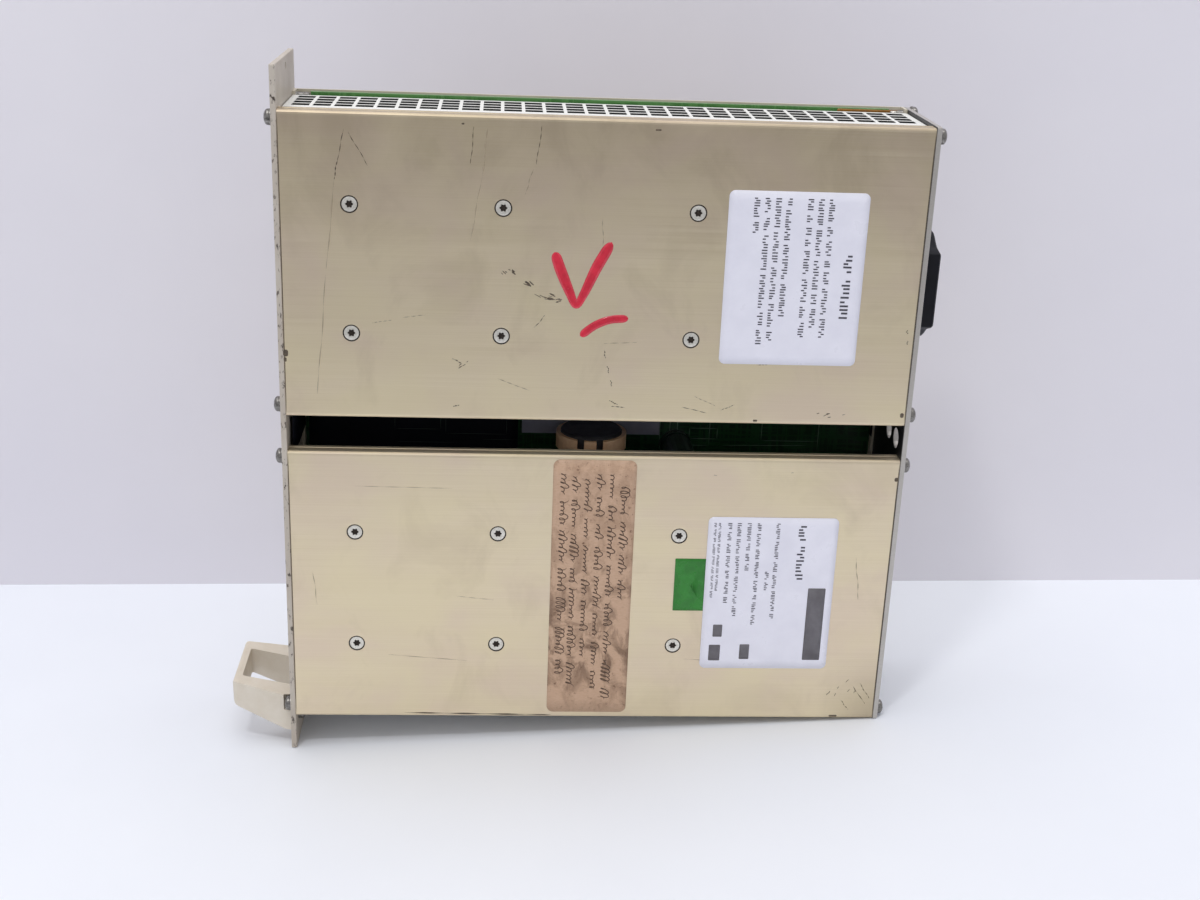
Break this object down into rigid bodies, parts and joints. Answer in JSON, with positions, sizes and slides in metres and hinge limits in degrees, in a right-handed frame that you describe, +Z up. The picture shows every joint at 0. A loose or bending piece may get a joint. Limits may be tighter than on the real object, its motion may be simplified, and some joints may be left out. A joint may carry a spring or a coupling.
{
  "type": "subrack power supply module",
  "caption": "Tall slim plug-in power supply module: front panel with tilted pull handle, two aluminium side profiles, vented rear panel with mains inlet, grilles and board.",
  "frame": {"origin": "middle of the footprint in X and Y, at the lowest point, which is the bottom edge of the front panel", "axes": "+X runs from the front panel to the rear panel, +Z is up as the module stands in a rack, -Y is the side with the two heatsink profiles"},
  "size_m": [0.2622, 0.0506, 0.2619],
  "materials": {
    "front_panel_paint": "satin grey-beige paint, scuffed along the edges",
    "rear_panel_metal": "plain rolled sheet",
    "cream_plastic": "fine moulded texture",
    "champagne_aluminium": "fine lengthwise brushing, champagne finish",
    "plain_aluminium": "mill finish",
    "cream_paint": "satin paint on folded sheet",
    "board_laminate": "solder-masked glass laminate",
    "sheet_zinc": "thin bright plated sheet",
    "black_plastic": "smooth moulded",
    "fuse_glass": "clear tube with plated caps",
    "brass": "turned",
    "bobbin_plastic": "natural moulded",
    "ferrite": "ground ferrite",
    "copper_wire": "enamelled wire",
    "capacitor_sleeve": "shrunk sleeve",
    "insulation_grey": "soft sheet",
    "blue_plastic": "moulded",
    "lamp_lens": "clear tinted lens",
    "zinc_steel": "zinc plated"
  },
  "bodies": {
    "chassis": {"front_panel": "front_panel_paint", "handle": "cream_plastic", "handle_screw_1": "zinc_steel", "handle_screw_2": "zinc_steel", "lower_side_profile": "champagne_aluminium", "lower_heat_spreader": "plain_aluminium", "lower_side_screw_1": "zinc_steel", "lower_side_screw_2": "zinc_steel", "lower_side_screw_3": "zinc_steel", "lower_side_screw_4": "zinc_steel", "lower_side_screw_5": "zinc_steel", "lower_side_screw_6": "zinc_steel", "upper_side_profile": "champagne_aluminium", "upper_heat_spreader": "plain_aluminium", "upper_side_screw_1": "zinc_steel", "upper_side_screw_2": "zinc_steel", "upper_side_screw_3": "zinc_steel", "upper_side_screw_4": "zinc_steel", "upper_side_screw_5": "zinc_steel", "upper_side_screw_6": "zinc_steel", "front_screw_lower_bottom": "zinc_steel", "rear_screw_lower_bottom": "zinc_steel", "front_screw_lower_top": "zinc_steel", "rear_screw_lower_top": "zinc_steel", "front_screw_upper_bottom": "zinc_steel", "rear_screw_upper_bottom": "zinc_steel", "front_screw_upper_top": "zinc_steel", "rear_screw_upper_top": "zinc_steel", "front_screw_far_bottom": "zinc_steel", "rear_screw_far_bottom": "zinc_steel", "front_screw_far_top": "zinc_steel", "rear_screw_far_top": "zinc_steel", "rear_panel": "rear_panel_metal", "far_side_cover": "cream_paint", "main_board": "board_laminate", "top_grille": "sheet_zinc", "bottom_grille": "sheet_zinc", "inlet_body": "black_plastic", "inlet_pin_line": "zinc_steel", "inlet_pin_earth": "zinc_steel", "inlet_pin_neutral": "zinc_steel", "inlet_screw_1": "zinc_steel", "inlet_screw_2": "zinc_steel", "output_terminal": "black_plastic", "output_terminal_screw_1": "brass", "output_terminal_screw_2": "brass", "transformer_bobbin": "bobbin_plastic", "transformer_core": "ferrite", "transformer_winding": "copper_wire", "bulk_capacitor_1": "capacitor_sleeve", "bulk_capacitor_2": "capacitor_sleeve", "output_capacitor": "capacitor_sleeve", "output_choke": "copper_wire", "insulation_pad": "insulation_grey", "trimmer_body": "blue_plastic", "lamp": "lamp_lens"},
    "fuse_carrier": {"fuse_drawer": "black_plastic", "fuse": "fuse_glass"},
    "voltage_trimmer": {"trimmer_rotor": "brass"}
  },
  "joints": [
    {"name": "fuse_drawer_slide", "type": "slide", "parent": "chassis", "child": "fuse_carrier", "axis": [1, 0, 0], "range_m": [0, 0.016]},
    {"name": "voltage_trimmer_turn", "type": "hinge", "parent": "chassis", "child": "voltage_trimmer", "pos_m": [-0.10737, 0, 0.21027], "axis": [-1, 0, 0], "range_deg": [-135, 135]}
  ]
}
